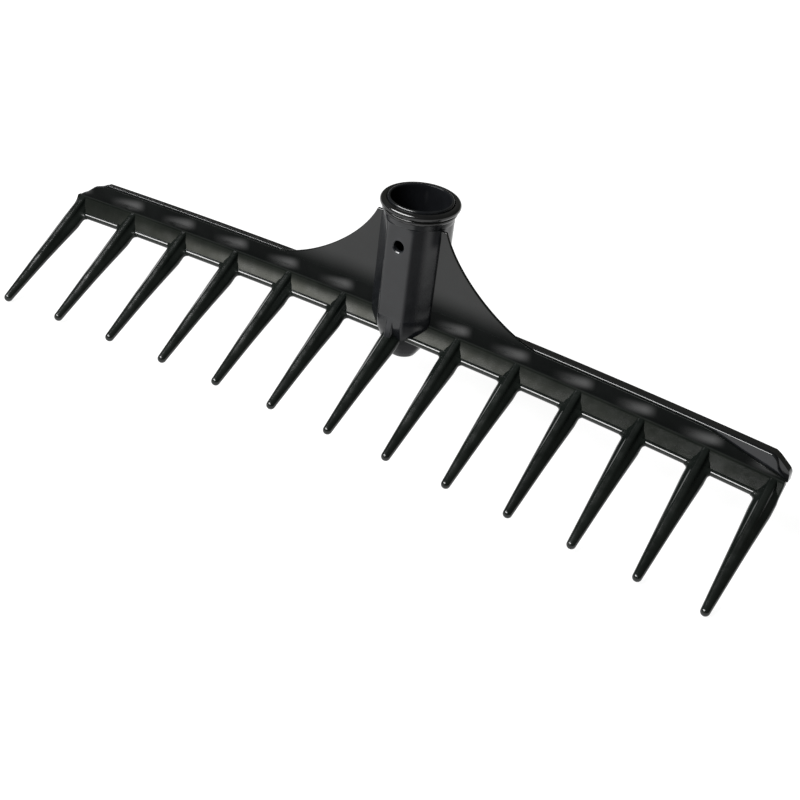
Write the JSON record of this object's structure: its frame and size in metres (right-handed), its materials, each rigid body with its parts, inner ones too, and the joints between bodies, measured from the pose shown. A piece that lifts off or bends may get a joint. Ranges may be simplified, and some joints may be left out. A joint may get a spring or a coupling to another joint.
{
  "type": "rake head",
  "caption": "Moulded plastic rake head with a row of sloping tapered tines along a ridged bar and an octagonal handle socket with a rolled collar",
  "frame": {"origin": "centre of the socket's mouth, on the axis of the handle's bore", "axes": "+Z along the bore and out of its mouth, +X along the bar, -Y towards the side that the tines reach out on"},
  "size_m": [0.3952, 0.0879, 0.1015],
  "materials": {
    "matte_black": "fine-grained moulded, dull",
    "satin_black": "smooth moulded, satin",
    "gloss_black": "smooth moulded, glossy"
  },
  "bodies": {
    "root": {"socket_tube": "matte_black", "socket_collar": "satin_black", "collar_bead": "satin_black", "socket_neck": "matte_black", "socket_foot": "matte_black", "foot_gusset": "matte_black", "front_wall_left": "matte_black", "front_wall_right": "matte_black", "rear_web_left": "matte_black", "rear_web_right": "matte_black", "tine_shelf_left": "gloss_black", "tine_shelf_right": "gloss_black", "shelf_lip_left": "gloss_black", "shelf_lip_right": "gloss_black", "top_rim_left": "satin_black", "top_rim_right": "satin_black", "end_cap_left": "satin_black", "end_cap_right": "satin_black", "wing_left": "matte_black", "wing_right": "matte_black", "tine_01": "gloss_black", "tine_02": "gloss_black", "tine_03": "gloss_black", "tine_04": "gloss_black", "tine_05": "gloss_black", "tine_06": "gloss_black", "tine_07": "gloss_black", "tine_08": "gloss_black", "tine_09": "gloss_black", "tine_10": "gloss_black", "tine_11": "gloss_black", "tine_12": "gloss_black", "tine_13": "gloss_black"}
  },
  "joints": []
}
